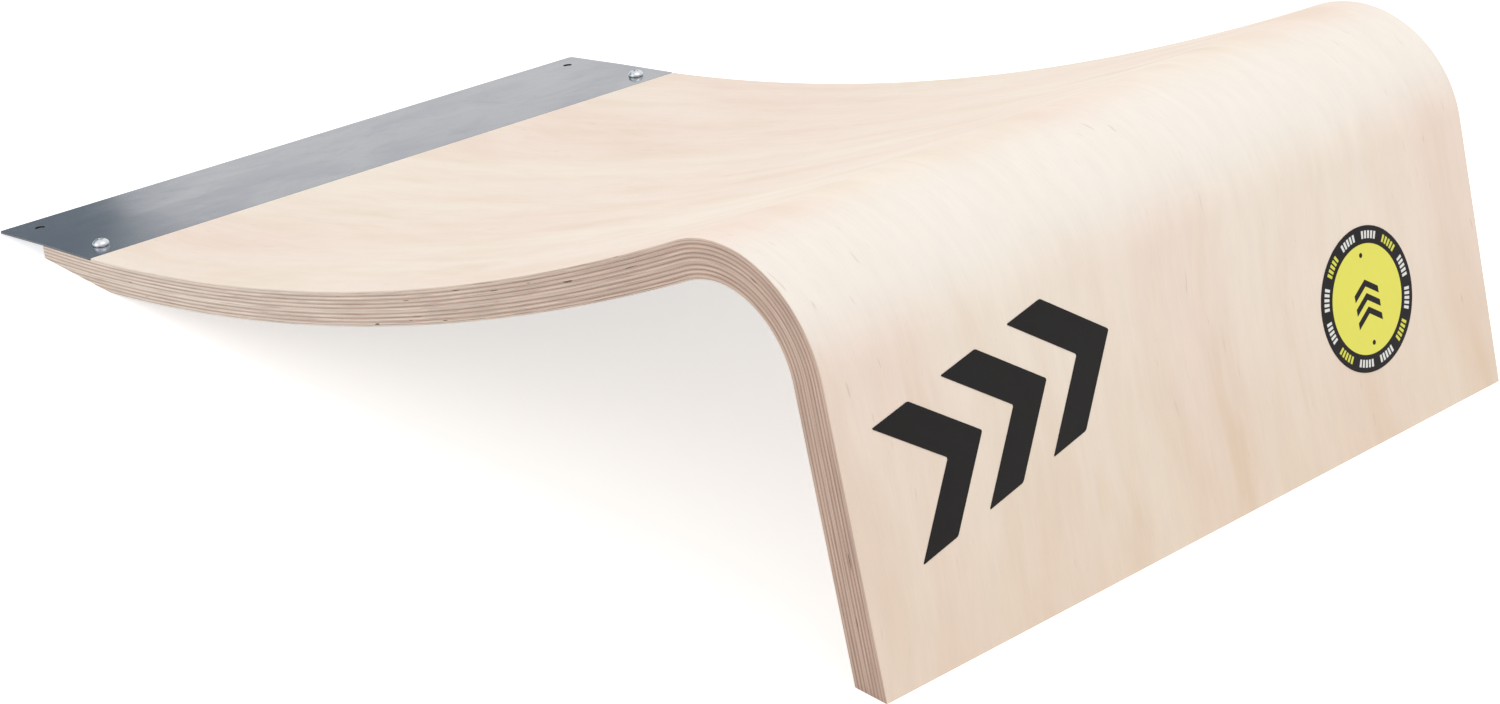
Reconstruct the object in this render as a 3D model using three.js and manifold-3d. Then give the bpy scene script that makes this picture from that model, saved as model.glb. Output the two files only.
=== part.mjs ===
// A moulded plywood jump ramp: one bent laminate of veneers, an inset steel threshold plate,
// a round label and plain chevrons. Millimetres, +Z up, +Y along the ride, X across the ramp.
import * as THREE from 'three';
import { mergeVertices } from 'three/addons/utils/BufferGeometryUtils.js';
import Module from 'manifold-3d';

const wasm = await Module();
wasm.setup();

const degree = Math.PI / 180;

// The ramp as a whole
const rampWidth = 500;
const rampHeight = 200;
const entryHeight = 9.7;
const deckRadius = 1830;
const entryAngle = 6.25 * degree;
const crestInnerRadius = 50;
const legAngle = 74.25 * degree;

// The laminate, from the riding surface down: L has its grain along the ramp, D across it
const layup = 'LLDLDLDLDLLDLDLDLL';
const veneerThickness = 1.1;
const glueLine = 0.04;
const deckSteps = 16;
const crestRiseSteps = 5;
const crestFallSteps = 15;

// The threshold plate, let into the deck so that their surfaces are level
const plateThickness = 1.2;
const plateLength = 120;
const plateOverlap = 61;
const plateCornerRadius = 3;
const tipClearance = 0.5;
const rebateGap = 0.3;
const cornerSteps = 6;

// The screws, the plate's open holes and the tee nuts under the board
const holeInset = 20;
const shankDiameter = 6;
const holeDiameter = 6.6;
const headDiameter = 11;
const headHeight = 4.4;
const headRim = 1;
const recessSpan = 6;
const recessWidth = 1.3;
const recessDepth = 2.4;
const screwLength = 12;
const seatGap = 0.1;
const barrelDiameter = 8;
const threadGap = 0.2;
const barrelGap = 0.3;
const flangeDiameter = 19;
const flangeThickness = 1.5;
const flangeGap = 0.6;
const flangeFloorGap = 2.4;
const nutCover = 0.6;
const roundSteps = 24;
const boardHoleSteps = 16;
const domeSteps = 5;

// The label and the chevrons on the leg's outer face
const decalThickness = 0.2;
const labelDiameter = 80;
const labelFromEdge = 106;
const labelUpLeg = 80;
const labelSteps = 60;
const chevronCount = 3;
const chevronHeight = 74;
const chevronStroke = 26;
const chevronPoint = 37;
const chevronPitch = 50;
const chevronsFromEdge = 111;
const chevronsUpLeg = 108;
const chevronTilt = 12 * degree;

// How far every cutting tool runs past what it cuts
const overrun = 5;

const veneerPitch = veneerThickness + glueLine;
const boardThickness = layup.length * veneerPitch - glueLine;
const crestRadius = crestInnerRadius + boardThickness;

// The riding surface is an arc about deckCentre, then an arc about crestCentre, then the straight leg.
// The two arcs meet smoothly at lipAngle. The entry end is at y = 0 until the whole model is centred.
const deckCentre = new THREE.Vector2(
  -deckRadius * Math.sin(entryAngle),
  entryHeight + deckRadius * Math.cos(entryAngle),
);
const lipAngle = Math.acos((deckCentre.y - rampHeight + crestRadius) / (deckRadius + crestRadius));
const crestCentre = new THREE.Vector2(
  deckCentre.x + (deckRadius + crestRadius) * Math.sin(lipAngle),
  rampHeight - crestRadius,
);

// Points are (y, z). Depth is measured square to the riding surface, into the board.
function deckPoint(depth, angle) {
  const radius = deckRadius + depth;
  return new THREE.Vector2(
    deckCentre.x + radius * Math.sin(angle),
    deckCentre.y - radius * Math.cos(angle),
  );
}

function crestPoint(depth, angle) {
  const radius = crestRadius - depth;
  return new THREE.Vector2(
    crestCentre.x - radius * Math.sin(angle),
    crestCentre.y + radius * Math.cos(angle),
  );
}

function legFoot(depth) {
  const top = crestPoint(depth, -legAngle);
  return new THREE.Vector2(top.x + top.y / Math.tan(legAngle), 0);
}

// Where a layer of the deck starts: at the square-cut end, or where the flat underside cuts it off
function startAngle(depth) {
  const floorAngle = Math.acos(Math.min(1, deckCentre.y / (deckRadius + depth)));
  return Math.max(entryAngle, floorAngle);
}

function layerLine(depth) {
  const start = startAngle(depth);
  const points = [deckPoint(depth, start)];
  for (let step = 0; step <= deckSteps; step += 1) {
    const angle = THREE.MathUtils.lerp(entryAngle, lipAngle, step / deckSteps);
    if (angle > start) {
      points.push(deckPoint(depth, angle));
    }
  }
  for (let step = 1; step <= crestRiseSteps; step += 1) {
    points.push(crestPoint(depth, lipAngle * (1 - step / crestRiseSteps)));
  }
  for (let step = 1; step <= crestFallSteps; step += 1) {
    points.push(crestPoint(depth, -legAngle * (step / crestFallSteps)));
  }
  points.push(legFoot(depth));
  return points;
}

function veneerOutline(depth) {
  const top = layerLine(depth);
  const bottom = layerLine(depth + veneerThickness);
  const endIsCut = startAngle(depth) === entryAngle && startAngle(depth + veneerThickness) > entryAngle;
  const endCorner = new THREE.Vector2(entryHeight * Math.tan(entryAngle), 0);
  return [...(endIsCut ? [endCorner] : []), ...top, ...bottom.reverse()];
}

// Side view (y, z) pushed across the ramp's width
function extrudeAcross(points, width) {
  const geometry = new THREE.ExtrudeGeometry(new THREE.Shape(points), {
    depth: width,
    bevelEnabled: false,
  });
  const across = new THREE.Matrix4().makeBasis(
    new THREE.Vector3(0, 1, 0),
    new THREE.Vector3(0, 0, 1),
    new THREE.Vector3(1, 0, 0),
  );
  return geometry.applyMatrix4(across).translate(-width / 2, 0, 0);
}

function extrudeUp(shape, height, curveSegments = 1) {
  return new THREE.ExtrudeGeometry(shape, { depth: height, bevelEnabled: false, curveSegments });
}

// LatheGeometry turns about Y, and these pieces stand on Z
function latheAboutZ(profile) {
  return new THREE.LatheGeometry(profile, roundSteps).rotateX(Math.PI / 2);
}

function cylinderAlongZ(diameter, bottom, top, steps = roundSteps) {
  const geometry = new THREE.CylinderGeometry(diameter / 2, diameter / 2, top - bottom, steps);
  return geometry.rotateX(Math.PI / 2).translate(0, 0, (bottom + top) / 2);
}

function toSolid(geometry) {
  const bare = geometry.clone();
  bare.deleteAttribute('normal');
  bare.deleteAttribute('uv');
  const merged = mergeVertices(bare);
  return new wasm.Manifold(new wasm.Mesh({
    numProp: 3,
    vertProperties: Float32Array.from(merged.attributes.position.array),
    triVerts: Uint32Array.from(merged.index.array),
  }));
}

function toGeometry(solid) {
  const mesh = solid.getMesh();
  const indexed = new THREE.BufferGeometry();
  indexed.setAttribute('position', new THREE.BufferAttribute(mesh.vertProperties, 3));
  indexed.setIndex(new THREE.BufferAttribute(mesh.triVerts, 1));
  const geometry = indexed.toNonIndexed();
  geometry.computeVertexNormals();
  return geometry;
}

function cut(geometry, tools) {
  const rest = tools.reduce((solid, tool) => solid.subtract(toSolid(tool)), toSolid(geometry));
  return toGeometry(rest);
}

const materials = {
  face: new THREE.MeshStandardMaterial({ color: '#f0e2cf', roughness: 0.5, metalness: 0 }),
  longGrain: new THREE.MeshStandardMaterial({ color: '#dcc5ae', roughness: 0.6, metalness: 0 }),
  crossGrain: new THREE.MeshStandardMaterial({ color: '#b59c86', roughness: 0.7, metalness: 0 }),
  steel: new THREE.MeshStandardMaterial({ color: '#8b9096', roughness: 0.35, metalness: 1 }),
  zinc: new THREE.MeshStandardMaterial({ color: '#dfe4e8', roughness: 0.25, metalness: 1 }),
  label: new THREE.MeshStandardMaterial({ color: '#e4e25a', roughness: 0.4, metalness: 0 }),
  print: new THREE.MeshStandardMaterial({ color: '#232020', roughness: 0.5, metalness: 0 }),
};

const ramp = new THREE.Group();
ramp.name = 'jump_ramp';

function addPiece(parent, name, geometry, material) {
  const mesh = new THREE.Mesh(geometry, material);
  mesh.name = name;
  parent.add(mesh);
  return mesh;
}

// The plate's seat lies in the deck, level with it at the plate's rear edge and at the board's end.
// There the sheet is bent a little, so that its tongue comes down almost to the floor.
// On each slope, distances run up from its origin and heights are measured from the plate's top.
const seatLength = 2 * deckRadius * Math.sin(plateOverlap / deckRadius / 2);
const tongueLength = plateLength - seatLength;
const tongueDrop = entryHeight - tipClearance - plateThickness;
const seat = {
  origin: deckPoint(0, entryAngle + plateOverlap / deckRadius),
  angle: entryAngle + plateOverlap / deckRadius / 2,
};
const tongue = {
  origin: deckPoint(0, entryAngle),
  angle: Math.asin(tongueDrop / tongueLength),
};

function slopePoint(slope, along, up) {
  return new THREE.Vector2(
    slope.origin.x + along * Math.cos(slope.angle) - up * Math.sin(slope.angle),
    slope.origin.y + along * Math.sin(slope.angle) + up * Math.cos(slope.angle),
  );
}

function placeOnSlope(slope, geometry, x, along) {
  const foot = slopePoint(slope, along, 0);
  return geometry.clone().rotateX(slope.angle).translate(x, foot.x, foot.y);
}

// The sheet's side view. Its two bend corners lie on the line that halves the bend.
function plateBlank() {
  const mitre = { origin: tongue.origin, angle: (seat.angle + tongue.angle) / 2 };
  const mitredThickness = plateThickness / Math.cos(mitre.angle - seat.angle);
  return extrudeAcross([
    seat.origin,
    tongue.origin,
    slopePoint(tongue, -tongueLength, 0),
    slopePoint(tongue, -tongueLength, -plateThickness),
    slopePoint(mitre, 0, -mitredThickness),
    slopePoint(seat, 0, -plateThickness),
  ], rampWidth);
}

// What a rounded corner takes off a square one, about the centre of its arc
function cornerWaste(quarterTurns) {
  const outside = plateCornerRadius + overrun;
  const waste = new THREE.Shape().absarc(0, 0, plateCornerRadius, 0, Math.PI / 2);
  waste.lineTo(0, outside);
  waste.lineTo(outside, outside);
  waste.lineTo(outside, 0);
  const tool = extrudeUp(waste, plateThickness + 2 * overrun, cornerSteps);
  return tool.translate(0, 0, -plateThickness - overrun).rotateZ(quarterTurns * Math.PI / 2);
}

const drill = cylinderAlongZ(holeDiameter, -plateThickness - overrun, overrun);
const sides = [
  { name: 'left', x: holeInset - rampWidth / 2 },
  { name: 'right', x: rampWidth / 2 - holeInset },
];
const screwAlong = -holeInset;
const cornerSide = rampWidth / 2 - plateCornerRadius;
const frontCorner = plateCornerRadius - tongueLength;
const plateTools = [
  placeOnSlope(seat, cornerWaste(0), cornerSide, -plateCornerRadius),
  placeOnSlope(seat, cornerWaste(1), -cornerSide, -plateCornerRadius),
  placeOnSlope(tongue, cornerWaste(2), -cornerSide, frontCorner),
  placeOnSlope(tongue, cornerWaste(3), cornerSide, frontCorner),
  ...sides.map((side) => placeOnSlope(seat, drill, side.x, screwAlong)),
  ...sides.map((side) => placeOnSlope(tongue, drill, side.x, holeInset - tongueLength)),
];
addPiece(ramp, 'threshold_plate', cut(plateBlank(), plateTools), materials.steel);

// The rebate in the board's top that the plate lies in, open at both sides and at the entry end
const rebateDepth = plateThickness + rebateGap;

function rebate(depth) {
  const length = seatLength + 2 * overrun;
  const block = new THREE.BoxGeometry(rampWidth + 2 * overrun, length, overrun + depth);
  block.translate(0, rebateGap - length / 2, (overrun - depth) / 2);
  return placeOnSlope(seat, block, 0, 0);
}

// Heights on a screw's axis, from the plate's top, up positive
const axisFoot = slopePoint(seat, screwAlong, 0);
const floorOnAxis = -axisFoot.y / Math.cos(seat.angle);
const flangeBottom = Math.max(floorOnAxis, -boardThickness) + flangeFloorGap;
const flangeTop = flangeBottom + flangeThickness;
const nutSeat = flangeTop + seatGap;
const barrelTop = -plateThickness - nutCover;
const screwTip = seatGap - screwLength;

function veneerTools(x) {
  const bottom = floorOnAxis - overrun;
  const through = cylinderAlongZ(barrelDiameter + 2 * barrelGap, bottom, overrun, boardHoleSteps);
  const counterbore = cylinderAlongZ(flangeDiameter + 2 * flangeGap, bottom, nutSeat, boardHoleSteps);
  return [through, counterbore].map((tool) => placeOnSlope(seat, tool, x, screwAlong));
}

function grainName(index) {
  if (index === 0) {
    return 'face_long_grain';
  }
  if (index === layup.length - 1) {
    return 'back_long_grain';
  }
  return layup[index] === 'L' ? 'long_grain' : 'cross_grain';
}

function grainMaterial(index) {
  if (index === 0 || index === layup.length - 1) {
    return materials.face;
  }
  return layup[index] === 'L' ? materials.longGrain : materials.crossGrain;
}

// The whole face veneer stops at the rebate's wall, and the next ones lose only what the plate needs
const nutTools = sides.flatMap((side) => veneerTools(side.x));
for (let index = 0; index < layup.length; index += 1) {
  const number = String(index + 1).padStart(2, '0');
  const depth = index === 0 ? rebateDepth + veneerThickness : rebateDepth;
  const sheet = extrudeAcross(veneerOutline(index * veneerPitch), rampWidth);
  const veneer = cut(sheet, [rebate(depth), ...nutTools]);
  addPiece(ramp, `veneer_${number}_${grainName(index)}`, veneer, grainMaterial(index));
}

// A pan head: an upright rim, then a quarter of an ellipse up to the axis
function screwProfile() {
  const points = [
    new THREE.Vector2(0, screwTip),
    new THREE.Vector2(shankDiameter / 2, screwTip),
    new THREE.Vector2(shankDiameter / 2, seatGap),
    new THREE.Vector2(headDiameter / 2, seatGap),
  ];
  for (let step = 0; step <= domeSteps; step += 1) {
    const angle = (step / domeSteps) * (Math.PI / 2);
    const radius = step === domeSteps ? 0 : (headDiameter / 2) * Math.cos(angle);
    points.push(new THREE.Vector2(radius, seatGap + headRim + (headHeight - headRim) * Math.sin(angle)));
  }
  return points;
}

function crossRecess() {
  const top = seatGap + headHeight + overrun;
  const bottom = seatGap + headHeight - recessDepth;
  const arm = new THREE.BoxGeometry(recessSpan, recessWidth, top - bottom);
  arm.translate(0, 0, (top + bottom) / 2);
  return [arm, arm.clone().rotateZ(Math.PI / 2)];
}

function nutProfile() {
  const bore = shankDiameter / 2 + threadGap;
  return [
    new THREE.Vector2(bore, flangeBottom),
    new THREE.Vector2(flangeDiameter / 2, flangeBottom),
    new THREE.Vector2(flangeDiameter / 2, flangeTop),
    new THREE.Vector2(barrelDiameter / 2, flangeTop),
    new THREE.Vector2(barrelDiameter / 2, barrelTop),
    new THREE.Vector2(bore, barrelTop),
    new THREE.Vector2(bore, flangeBottom),
  ];
}

for (const side of sides) {
  const axis = new THREE.Group();
  axis.position.set(side.x, axisFoot.x, axisFoot.y);
  axis.rotation.x = seat.angle;
  ramp.add(axis);
  const screw = cut(latheAboutZ(screwProfile()), crossRecess());
  addPiece(axis, `plate_screw_${side.name}`, screw, materials.zinc);
  addPiece(axis, `tee_nut_${side.name}`, latheAboutZ(nutProfile()), materials.zinc);
}

// The leg's outer face: x runs to the right as it is looked at, y runs up the leg, z points out
const legFace = new THREE.Group();
legFace.position.set(0, legFoot(0).x, 0);
legFace.rotation.set(-legAngle, 0, Math.PI);
ramp.add(legFace);

const disc = new THREE.Shape().absarc(0, 0, labelDiameter / 2, 0, 2 * Math.PI);
const labelDisc = extrudeUp(disc, decalThickness, labelSteps);
const label = addPiece(legFace, 'round_label', labelDisc, materials.label);
label.position.set(rampWidth / 2 - labelFromEdge, labelUpLeg, glueLine);

const chevron = new THREE.Shape([
  new THREE.Vector2(0, -chevronHeight / 2),
  new THREE.Vector2(chevronStroke, -chevronHeight / 2),
  new THREE.Vector2(chevronStroke + chevronPoint, 0),
  new THREE.Vector2(chevronStroke, chevronHeight / 2),
  new THREE.Vector2(0, chevronHeight / 2),
  new THREE.Vector2(chevronPoint, 0),
]);
const chevronRow = new THREE.Group();
chevronRow.position.set(chevronsFromEdge - rampWidth / 2, chevronsUpLeg, glueLine);
chevronRow.rotation.z = chevronTilt;
legFace.add(chevronRow);
const rowLength = (chevronCount - 1) * chevronPitch + chevronStroke + chevronPoint;
for (let index = 0; index < chevronCount; index += 1) {
  const name = `chevron_decal_${index + 1}`;
  const decal = addPiece(chevronRow, name, extrudeUp(chevron, decalThickness), materials.print);
  decal.position.x = index * chevronPitch - rowLength / 2;
}

// Centre the model between the plate's tip and the leg's foot
ramp.position.y = -(slopePoint(tongue, -tongueLength, 0).x + legFoot(0).x) / 2;

export default ramp;
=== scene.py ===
from math import acos, asin, cos, pi, radians, sin, tan

import bmesh
import bpy
from mathutils import Euler, Matrix, Vector


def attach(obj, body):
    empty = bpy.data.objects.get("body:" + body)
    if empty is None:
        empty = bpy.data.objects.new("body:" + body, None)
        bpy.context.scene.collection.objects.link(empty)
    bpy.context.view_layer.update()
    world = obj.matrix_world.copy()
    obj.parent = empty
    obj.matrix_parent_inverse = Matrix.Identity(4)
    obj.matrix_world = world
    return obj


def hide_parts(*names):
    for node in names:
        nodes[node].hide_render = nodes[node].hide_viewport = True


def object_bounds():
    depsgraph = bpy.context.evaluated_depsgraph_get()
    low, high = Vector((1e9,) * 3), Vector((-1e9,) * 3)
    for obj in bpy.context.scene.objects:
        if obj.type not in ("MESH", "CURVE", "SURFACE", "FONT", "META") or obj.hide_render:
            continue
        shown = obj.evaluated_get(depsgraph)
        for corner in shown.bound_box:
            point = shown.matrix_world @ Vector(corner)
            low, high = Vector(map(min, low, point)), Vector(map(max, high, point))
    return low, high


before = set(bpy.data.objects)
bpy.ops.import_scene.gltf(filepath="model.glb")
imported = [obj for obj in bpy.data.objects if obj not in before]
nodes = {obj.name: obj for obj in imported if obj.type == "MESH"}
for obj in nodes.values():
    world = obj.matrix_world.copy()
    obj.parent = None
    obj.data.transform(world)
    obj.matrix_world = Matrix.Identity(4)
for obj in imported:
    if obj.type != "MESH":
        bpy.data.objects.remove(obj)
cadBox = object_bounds()
scene = bpy.context.scene
scene.view_settings.view_transform = "Standard"
print("frame loaded:", len(nodes), "nodes")


# small helpers for shader nodes
def place(tree, kind, inputs=None, **settings):
    # adds a node; each input is another node's socket or a plain value
    node = tree.nodes.new("ShaderNode" + kind)
    for key, value in settings.items():
        setattr(node, key, value)
    for key, value in (inputs or {}).items():
        if isinstance(value, bpy.types.NodeSocket):
            tree.links.new(value, node.inputs[key])
        else:
            node.inputs[key].default_value = value
    return node


def calc(tree, operation, *values):
    return place(tree, "Math", dict(enumerate(values)), operation=operation).outputs[0]


def times(tree, a, b):
    return calc(tree, "MULTIPLY", a, b)


def distance(tree, a, b):
    # the third side of a right angle with sides a and b
    return calc(tree, "SQRT", calc(tree, "MULTIPLY_ADD", a, a, times(tree, b, b)))


def blendValues(tree, factor, a, b):
    return place(tree, "Mix", {0: factor, 2: a, 3: b}).outputs[0]


def blendColors(tree, factor, a, b, blendType="MIX"):
    return place(tree, "Mix", {0: factor, 6: a, 7: b}, data_type="RGBA", blend_type=blendType).outputs[2]


def shaded(tree, color, shade):
    # the colour times one value
    grey = place(tree, "CombineColor", {0: shade, 1: shade, 2: shade}).outputs[0]
    return blendColors(tree, 1.0, color, grey, "MULTIPLY")


def remap(tree, value, low, high, toLow=0.0, toHigh=1.0, smooth=True):
    kind = "SMOOTHSTEP" if smooth else "LINEAR"
    inputs = {"Value": value, "From Min": low, "From Max": high, "To Min": toLow, "To Max": toHigh}
    return place(tree, "MapRange", inputs, interpolation_type=kind).outputs[0]


def noiseAt(tree, vector, scale, detail, roughness, distortion=0.0):
    inputs = {"Vector": vector, "Scale": scale, "Detail": detail, "Roughness": roughness,
              "Distortion": distortion}
    return place(tree, "TexNoise", inputs, noise_dimensions="3D").outputs[0]


def stretched(tree, lengths, scale):
    # three lengths, each times its own scale
    vector = place(tree, "CombineXYZ", dict(enumerate(lengths))).outputs[0]
    return place(tree, "VectorMath", {0: vector, 1: scale}, operation="MULTIPLY").outputs[0]


def layerNoise(tree, lengths, scale, detail, roughness, distortion=0.0):
    return noiseAt(tree, stretched(tree, lengths, scale), 1.0, detail, roughness, distortion)


def spotOf(tree):
    # x, y and z of a point on the part
    return place(tree, "SeparateXYZ", {0: place(tree, "TexCoord").outputs["Object"]}).outputs


def facing(tree, axis):
    # 1 where the surface faces along the axis, 0 where it runs along it
    normal = place(tree, "TexCoord").outputs["Normal"]
    return calc(tree, "ABSOLUTE", place(tree, "SeparateXYZ", {0: normal}).outputs[axis])


def srgb(red, green, blue):
    def linear(value):
        value /= 255
        return value / 12.92 if value <= 0.04045 else ((value + 0.055) / 1.055) ** 2.4
    return (linear(red), linear(green), linear(blue), 1.0)


def newGroup(name, inputs, outputs):
    group = bpy.data.node_groups.new(name, "ShaderNodeTree")
    for direction, sockets in (("INPUT", inputs), ("OUTPUT", outputs)):
        for label, kind in sockets:
            group.interface.new_socket(label, in_out=direction, socket_type="NodeSocket" + kind)
    return group, group.nodes.new("NodeGroupInput").outputs, group.nodes.new("NodeGroupOutput").inputs


def useGroup(tree, group, inputs=None):
    return place(tree, "Group", inputs, node_tree=group).outputs


def newMaterial(name, **constants):
    material = bpy.data.materials.new(name)
    material.use_nodes = True
    tree = material.node_tree
    shader = tree.nodes["Principled BSDF"]
    for key, value in constants.items():
        shader.inputs[key.replace("_", " ")].default_value = value
    return material, tree, shader


def dressShader(tree, shader, color, roughness, height, bump):
    # bump is its strength and its distance
    tree.links.new(color, shader.inputs["Base Color"])
    tree.links.new(roughness, shader.inputs["Roughness"])
    relief = place(tree, "Bump", {"Height": height, "Strength": bump[0], "Distance": bump[1]})
    tree.links.new(relief.outputs["Normal"], shader.inputs["Normal"])


# the board's side view, shared by its pieces and its grain
board = {
    "width": 0.5,
    "height": 0.2,
    "entryHeight": 0.0097,
    "deckRadius": 1.83,
    "entryAngle": radians(6.25),
    "crestRadius": 0.07048,
    "legAngle": radians(74.25),
    "thickness": 0.02048,
    "veneer": 0.0011,
    "glueLine": 0.00004,
    "deckSteps": 64,
    "crestSteps": 60,
}
entryAngle = board["entryAngle"]
legAngle = board["legAngle"]
deckRadius = board["deckRadius"]
crestRadius = board["crestRadius"]
deckCentreZ = board["entryHeight"] + deckRadius * cos(entryAngle)
lipAngle = acos((deckCentreZ - board["height"] + crestRadius) / (deckRadius + crestRadius))
crestCentreZ = board["height"] - crestRadius
crestReach = (deckRadius + crestRadius) * sin(lipAngle) - deckRadius * sin(entryAngle)
legTopZ = crestCentreZ + crestRadius * cos(legAngle)
footReach = crestReach + crestRadius * sin(legAngle) + legTopZ / tan(legAngle)
woodEnd = cadBox[1].y - footReach
deckCentre = Vector((0, woodEnd - deckRadius * sin(entryAngle), deckCentreZ))
crestCentre = Vector((0, woodEnd + crestReach, crestCentreZ))


def onDeck(angle):
    return deckCentre + deckRadius * Vector((0, sin(angle), -cos(angle)))


def slopeFrame(point, angle):
    # x across, y up the slope, z out of the deck
    return Matrix.Translation(point) @ Matrix.Rotation(angle, 4, "X")


plate = {
    "length": 0.120,
    "overlap": 0.061,
    "thickness": 0.0012,
    "tipClearance": 0.0005,
    "rebateGap": 0.0003,
    "cornerRadius": 0.003,
    "cornerSteps": 6,
    "edgeRadius": 0.00025,
    "sharpCorner": 1.0,      # an edge that turns further than this, in radians, is eased
    "holeDiameter": 0.0066,
    "holeInset": 0.020,
    "holeSteps": 40,
    "holeWallShade": srgb(42, 42, 44),
    "holeWallShadeFade": (0.00005, 0.0002),      # past the hole's radius, inside the eased edge
    "bendWidth": 0.006,
    "bendSteps": 4,
    "smoothAngle": 20.0,
}
# the seat lies in the deck, and the tongue comes down from the board's end almost to the floor
seatSpan = plate["overlap"] / deckRadius
seatAngle = entryAngle + seatSpan / 2
seatLength = 2 * deckRadius * sin(seatSpan / 2)
tongueDrop = board["entryHeight"] - plate["tipClearance"] - plate["thickness"]
tongueAngle = asin(tongueDrop / (plate["length"] - seatLength))
plateFrame = slopeFrame(onDeck(entryAngle + seatSpan), seatAngle)
holeReach = board["width"] / 2 - plate["holeInset"]
openHoleY = woodEnd - (plate["length"] - seatLength - plate["holeInset"]) * cos(tongueAngle)

# small helpers for meshes
mergeDistance = 1e-7


def only(kind, geom):
    return [part for part in geom if isinstance(part, kind)]


def openEdges(bm):
    return [edge for edge in bm.edges if edge.is_boundary]


def sliceMesh(bm, point, normal, dropBehind=True):
    everything = bm.verts[:] + bm.edges[:] + bm.faces[:]
    bmesh.ops.bisect_plane(bm, geom=everything, dist=mergeDistance, plane_co=point, plane_no=normal,
                           clear_inner=dropBehind)


def extrudeBy(bm, faces, x, y, z):
    # pushes flat faces out into a solid
    grown = bmesh.ops.extrude_face_region(bm, geom=faces, use_keep_orig=True)["geom"]
    bmesh.ops.translate(bm, vec=(x, y, z), verts=only(bmesh.types.BMVert, grown))


def easeEdges(bm, keep, radius, segments=2):
    edges = [e for e in bm.edges if keep(e)]
    bmesh.ops.bevel(bm, geom=edges, offset=radius, segments=segments, profile=0.5, affect="EDGES",
                    material=-1, clamp_overlap=True)


def easeCorners(bm, corners, radius, segments):
    # rounds an outline's corners while it is still flat
    bmesh.ops.bevel(bm, geom=corners, offset=radius, segments=segments, profile=0.5,
                    affect="VERTICES", material=-1)


def finishMesh(name, bm, material, smoothAngle=30.0):
    bmesh.ops.remove_doubles(bm, verts=bm.verts, dist=mergeDistance)
    bmesh.ops.recalc_face_normals(bm, faces=bm.faces)
    mesh = bpy.data.meshes.new(name)
    bm.to_mesh(mesh)
    bm.free()
    mesh.shade_smooth()
    mesh.set_sharp_from_angle(angle=radians(smoothAngle))
    piece = bpy.data.objects.new(name, mesh)
    scene.collection.objects.link(piece)
    piece.data.materials.append(material)
    return piece


def handOver(piece, slot, *replaced):
    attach(piece, "root")
    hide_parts(*replaced)
    return piece


def cutAway(piece, cutter):
    # takes the cutter's shape out of the piece and deletes the cutter
    cut = piece.modifiers.new("cut", "BOOLEAN")
    cut.operation = "DIFFERENCE"
    cut.solver = "EXACT"
    cut.object = cutter
    evaluated = piece.evaluated_get(bpy.context.evaluated_depsgraph_get())
    mesh = bpy.data.meshes.new_from_object(evaluated)
    piece.modifiers.remove(cut)
    piece.data = mesh
    bpy.data.objects.remove(cutter)


def makeUnbendGroup():
    # where a point lies in the flat sheet that the board was bent from
    group, _, result = newGroup(
        "unbentSheet", [], [("Across", "Float"), ("Along", "Float"), ("Depth", "Float")])
    spot = spotOf(group)

    deckY = calc(group, "SUBTRACT", spot[1], deckCentre.y)
    deckZ = calc(group, "SUBTRACT", deckCentre.z, spot[2])
    deckAngle = calc(group, "ARCTAN2", deckY, deckZ)
    deckAlong = times(group, calc(group, "SUBTRACT", deckAngle, entryAngle), deckRadius)
    deckDepth = calc(group, "SUBTRACT", distance(group, deckY, deckZ), deckRadius)

    crestY = calc(group, "SUBTRACT", spot[1], crestCentre.y)
    crestZ = calc(group, "SUBTRACT", spot[2], crestCentre.z)
    crestAngle = calc(group, "ARCTAN2", crestY, crestZ)
    deckLength = deckRadius * (lipAngle - entryAngle)
    crestAlong = calc(group, "MULTIPLY_ADD", calc(group, "ADD", crestAngle, lipAngle),
                      crestRadius, deckLength)
    crestDepth = calc(group, "SUBTRACT", crestRadius, distance(group, crestY, crestZ))

    crestLength = crestRadius * (lipAngle + legAngle)
    downLeg = calc(group, "MULTIPLY_ADD", crestY, cos(legAngle), times(group, crestZ, -sin(legAngle)))
    legAlong = calc(group, "ADD", downLeg, deckLength + crestLength)
    outward = calc(group, "MULTIPLY_ADD", crestY, sin(legAngle), times(group, crestZ, cos(legAngle)))
    legDepth = calc(group, "SUBTRACT", crestRadius, outward)

    onCrest = calc(group, "GREATER_THAN", deckAngle, lipAngle)
    onLeg = times(group, onCrest, calc(group, "GREATER_THAN", crestAngle, legAngle))
    for name, deckValue, crestValue, legValue in (
            ("Along", deckAlong, crestAlong, legAlong), ("Depth", deckDepth, crestDepth, legDepth)):
        bent = blendValues(group, onCrest, deckValue, crestValue)
        group.links.new(blendValues(group, onLeg, bent, legValue), result[name])
    group.links.new(spot[0], result["Across"])
    return group


unbendGroup = makeUnbendGroup()

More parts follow.
